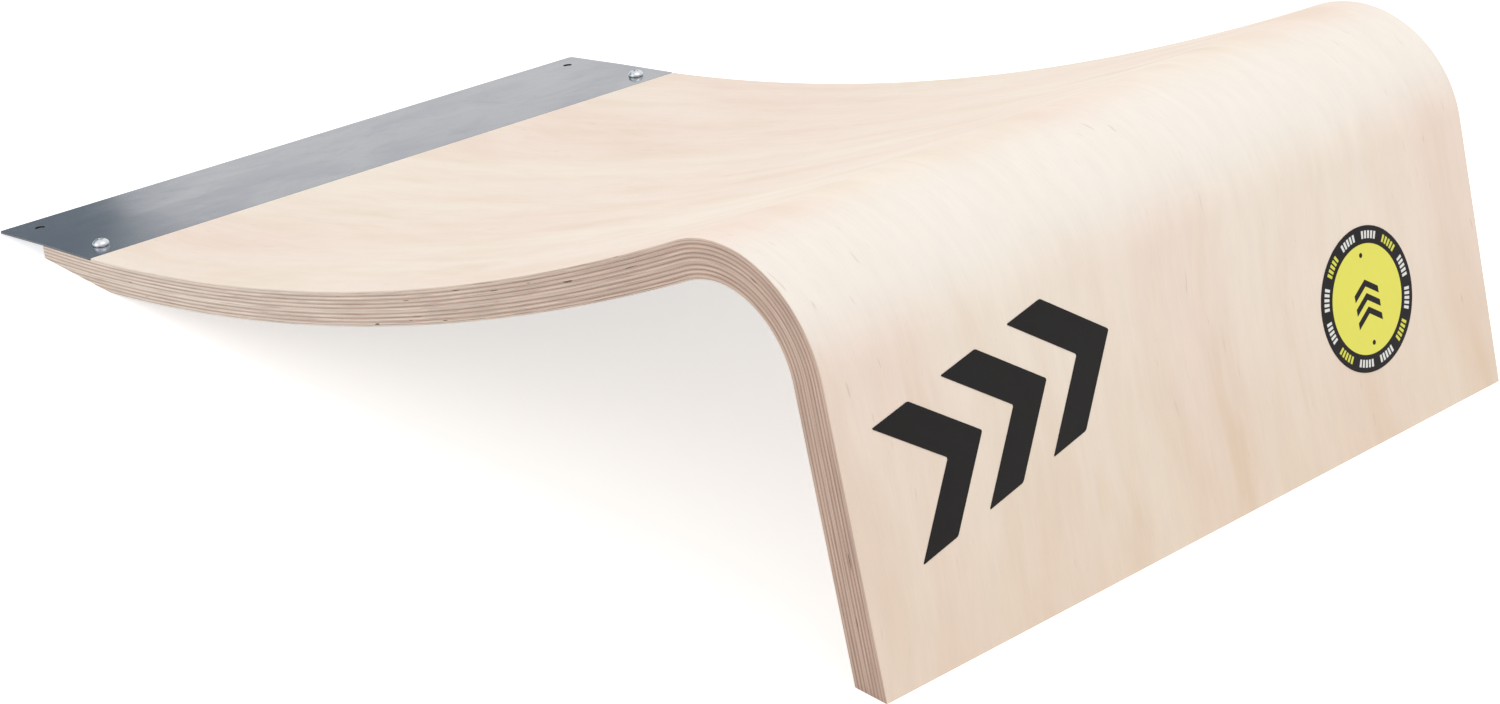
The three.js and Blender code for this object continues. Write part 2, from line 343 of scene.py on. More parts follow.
# In each look below, a layer of noise is its scale across, along and through the sheet, then its detail
# and roughness. A mapping is where it starts and ends, and the values there. A bump is strength, distance.
birchLook = {
    "waver": ((4.0, 2.6, 60.0), 2.0, 0.5),
    "waverShift": 0.085,      # how far the grain drifts sideways
    "ripple": ((17.0, 9.0, 60.0), 2.0, 0.5),
    "rippleShift": 0.012,
    "clouds": ((9.0, 2.2, 60.0), 2.0, 0.5),
    "cloudPink": (0.36, 0.64, 0.0, 1.0),
    "flames": ((38.0, 6.5, 60.0), 2.0, 0.5),
    "flameTan": (0.40, 0.72, 0.0, 0.20),
    "flameRoughness": (0.3, 0.8, 0.52, 0.62),
    "lines": ((120.0, 2.0, 60.0), 1.0, 0.5),
    "lineTan": (0.64, 0.78, 0.0, 0.12),
    "stains": ((21.0, 4.0, 60.0), 3.0, 0.55),
    "stainOffset": 3.7,      # reads the noise elsewhere, so that it doesn't repeat another layer
    "stainTan": (0.56, 0.76, 0.0, 0.42),
    "footTanAndShade": (0.76, 0.93, 0.0, 0.30),
    "crestHighlightRise": (0.665, 0.705, 0.0, 0.8),
    "crestHighlightFall": (0.735, 0.775, 1.0, 0.0),
    "crestHighlightColor": srgb(245, 238, 229),
    "nicks": ((420.0, 52.0, 60.0), 1.0, 0.5),
    "nickOffset": 1.3,
    "nickShare": (0.70, 0.77, 0.0, 0.32),
    "nickPatches": (0.42, 0.62, 0.15, 1.0),
    "nickColor": srgb(205, 174, 146),
    "flecks": ((150.0, 38.0, 60.0), 2.0, 0.5),
    "fleckShade": (0.30, 0.70, 0.984, 1.008),
    "fibres": ((900.0, 22.0, 60.0), 2.0, 0.5),
    "fibreShade": (0.3, 0.7, 0.98, 1.0),
    "fibreHeight": 0.6,
    "pores": ((2100.0, 170.0, 60.0), 1.0, 0.5),
    "poreShade": (0.68, 0.76, 1.0, 0.93),
    "poreHeight": 2.0,
    "bump": (0.25, 0.00006),
    "gloss": 0.25,
}


def makeFigureGroup():
    # rotary-cut birch: broad cloudy tone, wavering flames, short flecks, fibres and pores along the ramp
    group, given, result = newGroup(
        "birchFigure",
        [("Pale", "Color"), ("Pink", "Color"), ("Tan", "Color"), ("Contrast", "Float")],
        [("Color", "Color"), ("Roughness", "Float"), ("Height", "Float")])
    sheet = useGroup(group, unbendGroup)
    across, along, depth = sheet["Across"], sheet["Along"], sheet["Depth"]

    def lay(layer, side):
        return layerNoise(group, (side, along, depth), *birchLook[layer])

    # 0.5 is the noise's middle, so the grain drifts both ways
    waver = calc(group, "SUBTRACT", lay("waver", across), 0.5)
    ripple = calc(group, "SUBTRACT", lay("ripple", across), 0.5)
    drift = calc(group, "MULTIPLY_ADD", waver, birchLook["waverShift"], across)
    drift = calc(group, "MULTIPLY_ADD", ripple, birchLook["rippleShift"], drift)
    clouds = lay("clouds", drift)
    flames = lay("flames", drift)
    lines = lay("lines", drift)
    flecks = lay("flecks", drift)
    stains = lay("stains", calc(group, "ADD", drift, birchLook["stainOffset"]))
    nicks = lay("nicks", calc(group, "ADD", drift, birchLook["nickOffset"]))
    fibres = lay("fibres", across)
    pores = lay("pores", across)

    color = blendColors(group, remap(group, clouds, *birchLook["cloudPink"]), given["Pale"], given["Pink"])
    tanShare = remap(group, flames, *birchLook["flameTan"])
    tanShare = calc(group, "MAXIMUM", tanShare, remap(group, lines, *birchLook["lineTan"]))
    tanShare = calc(group, "MAXIMUM", tanShare, remap(group, stains, *birchLook["stainTan"]))
    # painted shade with some of the wood's own warmer tone: the sheet is a little browner and darker
    # towards the foot of the leg
    tanShare = calc(group, "ADD", tanShare, remap(group, along, *birchLook["footTanAndShade"]))
    color = blendColors(group, times(group, tanShare, given["Contrast"]), color, given["Tan"])
    # a painted highlight: a paler, more neutral band over the crest
    crestHighlight = times(group, remap(group, along, *birchLook["crestHighlightRise"]),
                    remap(group, along, *birchLook["crestHighlightFall"]))
    color = blendColors(group, crestHighlight, color, birchLook["crestHighlightColor"])
    # short brown nicks, which birch has here and there
    nickShare = times(group, remap(group, nicks, *birchLook["nickShare"]),
                      remap(group, clouds, *birchLook["nickPatches"]))
    color = blendColors(group, nickShare, color, birchLook["nickColor"])
    shade = times(group, remap(group, flecks, *birchLook["fleckShade"]),
                  remap(group, fibres, *birchLook["fibreShade"]))
    poreShade = remap(group, pores, *birchLook["poreShade"])
    group.links.new(shaded(group, color, times(group, shade, poreShade)), result["Color"])
    group.links.new(remap(group, flames, *birchLook["flameRoughness"]), result["Roughness"])
    height = calc(group, "MULTIPLY_ADD", fibres, birchLook["fibreHeight"],
                  times(group, poreShade, birchLook["poreHeight"]))
    group.links.new(height, result["Height"])
    return group


figureGroup = makeFigureGroup()

edgeLook = {
    "sideFacing": 0.7,      # a surface that faces sideways more than this is the cut edge
    "fibres": ((160.0, 26.0, 3200.0), 3.0, 0.6),
    "endPores": ((1300.0, 1300.0, 2300.0), 2.0, 0.5),
    "grainShade": (0.30, 0.70, 0.88, 1.04),
    "grainRoughness": (0.3, 0.7, 0.72, 0.60),
    "endCore": (0.05, 0.40, 0.0, 1.0),      # from the glue line in, as a share of the ply
    "glueShade": (0.01, 0.11, 0.80, 1.0),
    "crown": 1.5,
    "blotches": ((40.0, 16.0, 620.0), 3.0, 0.6),
    "blotchShade": (0.3, 0.7, 0.83, 1.09),
    "edgeShadeReach": (0.10, 0.90, 0.0, 1.0),
    "edgeShadeTint": (0.78, 0.665, 0.62, 1.0),
    "splits": ((60.0, 24.0, 1500.0), 2.0, 0.6),
    "splitShare": (0.56, 0.68, 0.0, 0.45),
    "splitColor": srgb(146, 112, 98),
    "gaps": ((75.0, 60.0, 900.0), 0.0, 0.5),
    "gapShare": (0.82, 0.85, 0.0, 1.0),
    "gapShadeColor": srgb(112, 90, 74),
    "gapDepth": 2.0,
    "bump": (0.5, 0.00012),
}
plyPitch = board["veneer"] + board["glueLine"]


def makeEdgeGroup():
    # a veneer's cut edge: fibres where the cut runs along the grain, open pores where it runs across
    group, given, result = newGroup(
        "veneerEdge",
        [("Side Color", "Color"), ("End Color", "Color"), ("Grain Across", "Float"), ("Seed", "Float")],
        [("Color", "Color"), ("Roughness", "Float"), ("Height", "Float"), ("On Side", "Float")])
    sheet = useGroup(group, unbendGroup)
    lengths = (sheet["Across"], sheet["Along"], calc(group, "ADD", sheet["Depth"], given["Seed"]))

    def lay(layer):
        return layerNoise(group, lengths, *edgeLook[layer])

    onSide = calc(group, "GREATER_THAN", facing(group, 0), edgeLook["sideFacing"])
    group.links.new(onSide, result["On Side"])
    # 1 where the fibres run along the cut, 0 where their ends show
    lengthwise = calc(group, "ABSOLUTE", calc(group, "SUBTRACT", onSide, given["Grain Across"]))
    grain = blendValues(group, lengthwise, lay("endPores"), lay("fibres"))
    inPly = calc(group, "FRACT", calc(group, "DIVIDE", sheet["Depth"], plyPitch))
    fromGlue = calc(group, "MINIMUM", inPly, calc(group, "SUBTRACT", board["veneer"] / plyPitch, inPly))
    endShare = times(group, remap(group, fromGlue, *edgeLook["endCore"]),
                     calc(group, "SUBTRACT", 1.0, lengthwise))
    color = blendColors(group, endShare, given["Side Color"], given["End Color"])
    shade = times(group, remap(group, grain, *edgeLook["grainShade"]),
                  remap(group, lay("blotches"), *edgeLook["blotchShade"]))
    shade = times(group, shade, remap(group, fromGlue, *edgeLook["glueShade"]))
    color = shaded(group, color, shade)
    # painted shade: the cut edge is darker and warmer round the crest and down the leg
    shadedEdgeColor = blendColors(group, 1.0, color, edgeLook["edgeShadeTint"], "MULTIPLY")
    color = blendColors(group, remap(group, sheet["Along"], *edgeLook["edgeShadeReach"]), color, shadedEdgeColor)
    splitShare = remap(group, lay("splits"), *edgeLook["splitShare"])
    color = blendColors(group, splitShare, color, edgeLook["splitColor"])
    # small voids between the plies: they dip in the bump and carry painted shade
    gapShare = remap(group, lay("gaps"), *edgeLook["gapShare"])
    color = blendColors(group, gapShare, color, edgeLook["gapShadeColor"])
    group.links.new(color, result["Color"])
    group.links.new(remap(group, grain, *edgeLook["grainRoughness"]), result["Roughness"])
    height = calc(group, "MULTIPLY_ADD", fromGlue, edgeLook["crown"], grain)
    height = calc(group, "MULTIPLY_ADD", gapShare, -edgeLook["gapDepth"], height)
    group.links.new(height, result["Height"])
    return group


edgeGroup = makeEdgeGroup()

metalLook = {
    "lines": ((9.0, 1500.0, 500.0), 3.0, 0.6),
    "lineShade": (0.3, 0.7, 0.965, 1.0),
    "lineRoughness": (0.3, 0.7, -0.02, 0.02),
    "clouds": ((13.0, 22.0, 20.0), 4.0, 0.6, 0.6),      # the last number of these two is distortion
    "cloudDull": (0.35, 0.65, 0.0, 0.75),
    "cloudRoughness": (0.3, 0.7, -0.03, 0.05),
    "smudges": ((38.0, 55.0, 40.0), 3.0, 0.55, 1.2),
    "smudgeDull": (0.50, 0.66, 0.0, 0.35),
    "scratchCells": (55.0, 330.0, 100.0),
    "scratchWidth": (0.0, 0.018, 1.0, 0.0),
    "scratchPatches": (0.55, 0.68, 0.0, 1.0),
    "scratchShade": 0.10,
    "scratchDepth": 0.8,
    "cutFace": (0.3, 0.9, 1.0, 0.0),      # a sheared edge stands upright; it is rougher, and darkened by painted shade
    "cutShade": 0.55,
    "cutRoughness": 0.25,
    "bumpStrength": 0.3,
}


def makeBareMetalGroup():
    # rolling lines across the ramp, cloudy handling marks and a few fine scratches
    group, given, result = newGroup(
        "bareMetal",
        [("Clean", "Color"), ("Dull", "Color"), ("Line Scale", "Float"), ("Base Roughness", "Float"),
         ("Sheared", "Float")],
        [("Color", "Color"), ("Roughness", "Float"), ("Height", "Float")])
    lengths = [times(group, part, given["Line Scale"]) for part in spotOf(group)]
    lines, clouds, smudges = [
        layerNoise(group, lengths, *metalLook[layer]) for layer in ("lines", "clouds", "smudges")]
    cell = place(group, "TexVoronoi", {"Vector": stretched(group, lengths, metalLook["scratchCells"]),
                                       "Scale": 1.0, "Randomness": 1.0}, feature="DISTANCE_TO_EDGE")
    scratches = times(group, remap(group, cell.outputs["Distance"], *metalLook["scratchWidth"]),
                      remap(group, smudges, *metalLook["scratchPatches"]))

    dullShare = calc(group, "ADD", remap(group, clouds, *metalLook["cloudDull"]),
                     remap(group, smudges, *metalLook["smudgeDull"]))
    color = blendColors(group, dullShare, given["Clean"], given["Dull"])
    shade = calc(group, "MULTIPLY_ADD", scratches, -metalLook["scratchShade"],
                 remap(group, lines, *metalLook["lineShade"]))
    cut = times(group, remap(group, facing(group, 2), *metalLook["cutFace"]), given["Sheared"])
    # painted shade on the upright sheared edges
    shade = times(group, shade, calc(group, "MULTIPLY_ADD", cut, -metalLook["cutShade"], 1.0))
    group.links.new(shaded(group, color, shade), result["Color"])
    rough = calc(group, "ADD", given["Base Roughness"], remap(group, clouds, *metalLook["cloudRoughness"]))
    rough = calc(group, "ADD", rough, remap(group, lines, *metalLook["lineRoughness"]))
    rough = calc(group, "MULTIPLY_ADD", cut, metalLook["cutRoughness"], rough)
    group.links.new(rough, result["Roughness"])
    height = calc(group, "MULTIPLY_ADD", scratches, -metalLook["scratchDepth"], lines)
    group.links.new(height, result["Height"])
    return group


metalGroup = makeBareMetalGroup()

filmLook = {
    "mottle": (45.0, 4.0, 0.6),      # scale, detail and roughness of the noise
    "mottleShade": 0.6,
    "mottleRoughness": (0.3, 0.7, -0.05, 0.07),
    "dust": (1400.0, 2.0, 0.7),
    "dustShade": (0.70, 0.78, 0.0, 0.5),
    "peel": (520.0, 1.0, 0.5),
    "bump": (0.2, 0.00003),
    "blacks": (srgb(18, 16, 16), srgb(32, 29, 28)),
    "blackRoughness": 0.48,
    "blackGloss": 0.15,
}


def makeFilmGroup():
    # printed film: a faint mottle, dust and small rubbed spots
    group, given, result = newGroup("filmWear", [("Base Roughness", "Float")],
                                    [("Shade", "Float"), ("Roughness", "Float"), ("Height", "Float")])
    spot = place(group, "TexCoord").outputs["Object"]
    mottle = noiseAt(group, spot, *filmLook["mottle"])
    dust = noiseAt(group, spot, *filmLook["dust"])
    shade = calc(group, "MULTIPLY_ADD", mottle, filmLook["mottleShade"],
                 remap(group, dust, *filmLook["dustShade"]))
    group.links.new(shade, result["Shade"])
    rough = calc(group, "ADD", given["Base Roughness"], remap(group, mottle, *filmLook["mottleRoughness"]))
    group.links.new(rough, result["Roughness"])
    group.links.new(noiseAt(group, spot, *filmLook["peel"]), result["Height"])
    return group


filmGroup = makeFilmGroup()
print("shader groups built")


# on the ramp's sides a long veneer is cut along its grain, and a cross veneer shows its end grain
longGrain = {"side": srgb(246, 230, 216), "end": srgb(214, 188, 170), "across": 0.0, "seedStep": 0.031}
crossGrain = {"side": srgb(243, 226, 211), "end": srgb(196, 167, 149), "across": 1.0, "seedStep": 0.017}
edgeKinds = 3


def cutEdge(tree, grain, index):
    return useGroup(tree, edgeGroup, {"Side Color": grain["side"], "End Color": grain["end"],
                                      "Grain Across": grain["across"], "Seed": grain["seedStep"] * index})


def birchFace(name, pale, pink, tan, contrast):
    # the figure on the broad faces, and a cut edge on both sides of the ramp
    material, tree, shader = newMaterial(name, Specular_IOR_Level=birchLook["gloss"])
    figure = useGroup(tree, figureGroup, {"Pale": pale, "Pink": pink, "Tan": tan, "Contrast": contrast})
    edge = cutEdge(tree, longGrain, 0)
    color = blendColors(tree, edge["On Side"], figure["Color"], edge["Color"])
    rough = blendValues(tree, edge["On Side"], figure["Roughness"], edge["Roughness"])
    dressShader(tree, shader, color, rough, figure["Height"], birchLook["bump"])
    return material


def veneerEdge(name, grain, index):
    material, tree, shader = newMaterial(f"{name}{index + 1}")
    edge = cutEdge(tree, grain, index)
    dressShader(tree, shader, edge["Color"], edge["Roughness"], edge["Height"], edgeLook["bump"])
    return material


def fromOpenHole(tree):
    # how far a point stands from the nearer of the plate's two open holes
    spot = spotOf(tree)
    sideways = calc(tree, "SUBTRACT", calc(tree, "ABSOLUTE", spot[0]), holeReach)
    return distance(tree, sideways, calc(tree, "SUBTRACT", spot[1], openHoleY))


def bareMetal(name, clean, dull, lineScale, roughness, sheared, bumpDistance):
    material, tree, shader = newMaterial(name, Metallic=1.0)
    metal = useGroup(tree, metalGroup, {"Clean": clean, "Dull": dull, "Line Scale": lineScale,
                                        "Base Roughness": roughness, "Sheared": sheared})
    color = metal["Color"]
    if sheared:
        # painted shade darkens the walls of the open holes
        inner, outer = [plate["holeDiameter"] / 2 + past for past in plate["holeWallShadeFade"]]
        holeWallShadeShare = remap(tree, fromOpenHole(tree), inner, outer, 1.0, 0.0)
        color = blendColors(tree, holeWallShadeShare, color, plate["holeWallShade"])
    dressShader(tree, shader, color, metal["Roughness"], metal["Height"],
                (metalLook["bumpStrength"], bumpDistance))
    return material


def blackPrint():
    material, tree, shader = newMaterial("blackFilm", Specular_IOR_Level=filmLook["blackGloss"])
    film = useGroup(tree, filmGroup, {"Base Roughness": filmLook["blackRoughness"]})
    color = blendColors(tree, film["Shade"], *filmLook["blacks"])
    dressShader(tree, shader, color, film["Roughness"], film["Height"], filmLook["bump"])
    return material


faceBirch = birchFace("paleBirchFace", pale=srgb(248, 235, 220), pink=srgb(246, 227, 213),
                      tan=srgb(228, 200, 170), contrast=1.0)
backBirch = birchFace("paleBirchBack", pale=srgb(241, 226, 206), pink=srgb(238, 217, 199),
                      tan=srgb(217, 190, 162), contrast=1.4)
longEdges = [veneerEdge("birchLongGrain", longGrain, i) for i in range(edgeKinds)]
crossEdges = [veneerEdge("birchCrossGrain", crossGrain, i) for i in range(edgeKinds)]
sheetSteel = bareMetal("sheetSteel", clean=srgb(154, 156, 162), dull=srgb(139, 143, 152), lineScale=1.0,
                       roughness=0.13, sheared=1.0, bumpDistance=0.000006)
zincPlate = bareMetal("zincPlate", clean=srgb(226, 229, 232), dull=srgb(200, 206, 212), lineScale=6.0,
                      roughness=0.26, sheared=0.0, bumpDistance=0.000005)
blackFilm = blackPrint()
print("wood, metal and film finishes built")


# an inner veneer's node is named veneer, its number, and long or cross grain
for name, node in nodes.items():
    words = name.split("_")
    if words[0] == "veneer" and words[2] in ("long", "cross"):
        edges = longEdges if words[2] == "long" else crossEdges
        node.data.materials[0] = edges[int(words[1]) % edgeKinds]

skins = {
    "faceTop": 0.0,
    "faceBottom": 0.00103,      # keeps clear of the second veneer's flats
    "backTop": 0.01943,
    "backBottom": 0.02048,
    "ease": 0.0008,
    "easeSteps": 4,
    "smoothAngle": 8.0,
}


def bentSheet(name, top, bottom, easedSide, material, startsAtRebate):
    # a thin bar across the ramp, swept round the deck, over the crest and down the leg
    bm = bmesh.new()
    bmesh.ops.create_grid(bm, x_segments=1, y_segments=1, size=0.5)
    bmesh.ops.scale(bm, vec=(board["width"], bottom - top, 1), verts=bm.verts)
    easeCorners(bm, [v for v in bm.verts if v.co.y * easedSide > 0], skins["ease"], skins["easeSteps"])
    bmesh.ops.translate(bm, vec=(0, -(top + bottom) / 2, 0), verts=bm.verts)
    start = slopeFrame(onDeck(entryAngle), entryAngle) @ Matrix.Rotation(pi / 2, 4, "X")
    bmesh.ops.transform(bm, matrix=start, verts=bm.verts)

    def sweep(geom, centre, angle, steps):
        return bmesh.ops.spin(bm, geom=geom, cent=centre, axis=(1, 0, 0), dvec=(0, 0, 0), angle=angle,
                              steps=steps, use_merge=False, use_normal_flip=False,
                              use_duplicate=False)["geom_last"]

    bar = bm.verts[:] + bm.edges[:] + bm.faces[:]
    swept = sweep(bar, deckCentre, lipAngle - entryAngle, board["deckSteps"])
    swept = sweep(swept, crestCentre, -(lipAngle + legAngle), board["crestSteps"])
    endFaces = only(bmesh.types.BMFace, swept)
    leg = bmesh.ops.extrude_face_region(bm, geom=endFaces)["geom"]
    down = (legTopZ + board["thickness"]) / sin(legAngle)      # past the floor, and cut off there
    bmesh.ops.translate(bm, vec=(0, cos(legAngle) * down, -sin(legAngle) * down),
                        verts=only(bmesh.types.BMVert, leg))
    bmesh.ops.delete(bm, geom=[face for face in endFaces if face.is_valid], context="FACES_ONLY")
    sliceMesh(bm, (0, 0, 0), (0, 0, 1))
    if startsAtRebate:
        wall = plateFrame @ Vector((0, plate["rebateGap"], 0))
        sliceMesh(bm, wall, (0, cos(seatAngle), sin(seatAngle)))
    bmesh.ops.holes_fill(bm, edges=openEdges(bm), sides=0)
    loose = sum(not edge.is_manifold for edge in bm.edges)
    piece = finishMesh(name, bm, material, skins["smoothAngle"])
    print(name, len(piece.data.polygons), "faces,", loose, "open edges")
    return piece


faceVeneer = bentSheet("faceVeneer", skins["faceTop"], skins["faceBottom"], 1, faceBirch, True)
backVeneer = bentSheet("backVeneer", skins["backTop"], skins["backBottom"], -1, backBirch, False)
handOver(faceVeneer, "birch_face", "veneer_01_face_long_grain")
handOver(backVeneer, "birch_face", "veneer_18_back_long_grain")
print("board dressed")


def bendTongue(bm):
    # a soft bend, shared out over a few lines across the sheet
    turn = (tongueAngle - seatAngle) / plate["bendSteps"]
    for step in range(plate["bendSteps"]):
        line = plate["bendWidth"] * (0.5 - (step + 0.5) / plate["bendSteps"]) - seatLength
        sliceMesh(bm, (0, line, 0), (0, 1, 0), dropBehind=False)
        bmesh.ops.rotate(bm, cent=(0, line, 0), matrix=Matrix.Rotation(turn, 3, "X"),
                         verts=[v for v in bm.verts if v.co.y < line])


def makePlate():
    # sheared outline with four drilled holes, filled, then pushed down to the sheet's thickness
    bm = bmesh.new()
    bmesh.ops.create_grid(bm, x_segments=1, y_segments=1, size=0.5)
    bmesh.ops.scale(bm, vec=(board["width"], plate["length"], 1), verts=bm.verts)
    bmesh.ops.translate(bm, vec=(0, -plate["length"] / 2, 0), verts=bm.verts)
    easeCorners(bm, bm.verts[:], plate["cornerRadius"], plate["cornerSteps"])
    bmesh.ops.delete(bm, geom=bm.faces[:], context="FACES_ONLY")
    for x in (-holeReach, holeReach):
        for y in (-plate["holeInset"], plate["holeInset"] - plate["length"]):
            bmesh.ops.create_circle(bm, cap_ends=False, radius=plate["holeDiameter"] / 2,
                                    segments=plate["holeSteps"], matrix=Matrix.Translation((x, y, 0)))
    bmesh.ops.triangle_fill(bm, use_beauty=True, use_dissolve=False, edges=bm.edges[:], normal=(0, 0, 1))
    extrudeBy(bm, bm.faces[:], 0, 0, -plate["thickness"])
    bmesh.ops.recalc_face_normals(bm, faces=bm.faces)
    easeEdges(bm, lambda e: len(e.link_faces) == 2 and e.calc_face_angle(0) > plate["sharpCorner"],
              plate["edgeRadius"])
    bendTongue(bm)
    bmesh.ops.transform(bm, matrix=plateFrame, verts=bm.verts)
    return finishMesh("thresholdPlate", bm, sheetSteel, plate["smoothAngle"])


thresholdPlate = handOver(makePlate(), "steel_sheet", "threshold_plate")
print("threshold plate made:", len(thresholdPlate.data.polygons), "faces")


screw = {
    "headDiameter": 0.011,
    "headHeight": 0.0044,
    "rim": 0.001,
    "rimRadius": 0.0003,
    "sharpCorner": 1.2,
    "shankDiameter": 0.006,
    "length": 0.012,
    "seatGap": 0.0001,
    "recessSpan": 0.006,
    "recessWidth": 0.0013,
    "recessDepth": 0.0024,
    "recessTaper": (0.55, 0.8),      # how much of each blade's span and width is left at its foot
    "turnSteps": 48,
    "domeSteps": 32,
    "smoothAngle": 40.0,
}


def makeRecess(turn):
    # one tapered blade of the cross recess
    bm = bmesh.new()
    bmesh.ops.create_cube(bm, size=1.0)
    depth = screw["recessDepth"] + screw["rim"]
    bmesh.ops.scale(bm, vec=(screw["recessSpan"], screw["recessWidth"], depth), verts=bm.verts)
    bmesh.ops.scale(bm, vec=(*screw["recessTaper"], 1), verts=[v for v in bm.verts if v.co.z < 0])
    lift = screw["headHeight"] - screw["recessDepth"] + depth / 2
    bmesh.ops.rotate(bm, cent=(0, 0, 0), matrix=Matrix.Rotation(turn, 3, "Z"), verts=bm.verts)
    bmesh.ops.translate(bm, vec=(0, 0, lift), verts=bm.verts)
    return finishMesh("recess", bm, zincPlate)


def makeScrew(name, x, turn, node):
    # a domed head, its rim and bearing face, and the plain shank, all about z
    bm = bmesh.new()
    radius = screw["headDiameter"] / 2
    bmesh.ops.create_uvsphere(bm, u_segments=screw["turnSteps"], v_segments=screw["domeSteps"],
                              radius=radius)
    sliceMesh(bm, (0, 0, 0), (0, 0, 1))
    bmesh.ops.scale(bm, vec=(1, 1, (screw["headHeight"] - screw["rim"]) / radius), verts=bm.verts)
    bmesh.ops.translate(bm, vec=(0, 0, screw["rim"]), verts=bm.verts)
    shankShare = screw["shankDiameter"] / screw["headDiameter"]
    for drop, share in ((screw["rim"], 1.0), (0.0, shankShare), (screw["length"], 1.0)):
        grown = bmesh.ops.extrude_edge_only(bm, edges=openEdges(bm))["geom"]
        ring = only(bmesh.types.BMVert, grown)
        bmesh.ops.scale(bm, vec=(share, share, 1), verts=ring)
        bmesh.ops.translate(bm, vec=(0, 0, -drop), verts=ring)
    bmesh.ops.holes_fill(bm, edges=openEdges(bm), sides=0)
    bmesh.ops.recalc_face_normals(bm, faces=bm.faces)
    easeEdges(bm, lambda e: e.calc_face_angle(0) > screw["sharpCorner"], screw["rimRadius"])
    piece = finishMesh(name, bm, zincPlate, screw["smoothAngle"])
    for quarter in (0, pi / 2):
        cutAway(piece, makeRecess(turn + quarter))
    piece.data.transform(plateFrame @ Matrix.Translation((x, -plate["holeInset"], screw["seatGap"])))
    piece.data.set_sharp_from_angle(angle=radians(screw["smoothAngle"]))
    handOver(piece, "zinc_plated", node)


nut = {
    "flangeDiameter": 0.019,
    "flangeThickness": 0.0015,
    "barrelDiameter": 0.008,
    "bore": 0.0064,
    "floorGap": 0.0024,
    "cover": 0.0006,
    "edgeRadius": 0.0002,
    "edgeSteps": 2,
    "turnSteps": 48,
    "smoothAngle": 20.0,
}


def makeTeeNut(name, x, node):
    # the nut's section, spun about the screw's axis
    axisFoot = plateFrame @ Vector((0, -plate["holeInset"], 0))
    bottom = nut["floorGap"] - axisFoot.z / cos(seatAngle)
    step = bottom + nut["flangeThickness"]
    top = -plate["thickness"] - nut["cover"]
    bore, barrel, flange = nut["bore"] / 2, nut["barrelDiameter"] / 2, nut["flangeDiameter"] / 2
    bm = bmesh.new()
    corners = [(bore, bottom), (flange, bottom), (flange, step), (barrel, step), (barrel, top), (bore, top)]
    bm.faces.new([bm.verts.new((radius, 0, z)) for radius, z in corners])
    easeCorners(bm, bm.verts[:], nut["edgeRadius"], nut["edgeSteps"])
    section = bm.edges[:]
    bmesh.ops.delete(bm, geom=bm.faces[:], context="FACES_ONLY")
    bmesh.ops.spin(bm, geom=section, cent=(0, 0, 0), axis=(0, 0, 1), dvec=(0, 0, 0), angle=2 * pi,
                   steps=nut["turnSteps"], use_merge=True, use_normal_flip=False, use_duplicate=False)
    bmesh.ops.transform(bm, matrix=plateFrame @ Matrix.Translation((x, -plate["holeInset"], 0)),
                        verts=bm.verts)
    handOver(finishMesh(name, bm, zincPlate, nut["smoothAngle"]), "zinc_plated", node)


makeScrew("plateScrewLeft", -holeReach, radians(24), "plate_screw_left")
makeScrew("plateScrewRight", holeReach, radians(-17), "plate_screw_right")
makeTeeNut("teeNutLeft", -holeReach, "tee_nut_left")
makeTeeNut("teeNutRight", holeReach, "tee_nut_right")
print("screws and tee nuts made")


# the leg's outer face: x to the right as it is looked at, y up the leg, z out of it
legFrame = Matrix((
    (-1, 0, 0, 0),
    (0, -cos(legAngle), sin(legAngle), cadBox[1].y),
    (0, sin(legAngle), cos(legAngle), 0),
    (0, 0, 0, 1),
))

# the label's size and place, and the film that the chevrons are cut from too
label = {
    "diameter": 0.080,
    "place": (0.144, 0.080),
    "tilt": 0.0,
    "stickDown": 0.00004,
    "thickness": 0.00018,
    "edgeRadius": 0.00005,
    "sharpCorner": 1.0,
    "steps": 128,
    "smoothAngle": 20.0,
}

chevron = {
    "height": 0.074,
    "stroke": 0.026,
    "point": 0.037,
    "pitch": 0.050,
    "count": 3,
    "place": (-0.139, 0.108),
    "tilt": radians(12),
    "cornerRadius": 0.0012,
    "cornerSteps": 4,
}


def onLegFace(centre, tilt):
    return legFrame @ Matrix.Translation((*centre, label["stickDown"])) @ Matrix.Rotation(tilt, 4, "Z")


labelFrame = onLegFace(label["place"], label["tilt"])

# the label's print
dial = {
    "yellows": (srgb(241, 236, 98), srgb(233, 228, 114)),
    "ink": srgb(20, 12, 16),
    "roughness": 0.38,
    "gloss": 0.13,
    "soft": 0.00015,
    "ringInside": 0.0303,
    "tickInside": 0.0330,
    "tickOutside": 0.0372,
    "tickCount": 84,
    "tickShare": 0.62,
    "tickSoft": 0.06,
    "tickColors": (srgb(236, 236, 232), srgb(226, 226, 90)),
    "groupCount": 12,          # the ticks stand in even groups round the ring
    "groupShare": 0.714,
    "groupSoft": 0.012,
    "yellowEvery": 3,
    "yellowSoft": 0.004,
    "arrowPitch": 0.0076,
    "arrowStroke": 0.0040,
    "arrowHalfWidth": 0.0105,
    "arrowSlope": 0.62,
    "arrowCount": 3,
    "arrowSlack": 0.0002,
    "dotRadius": 0.0014,
    "dotPlace": 0.0245,
}


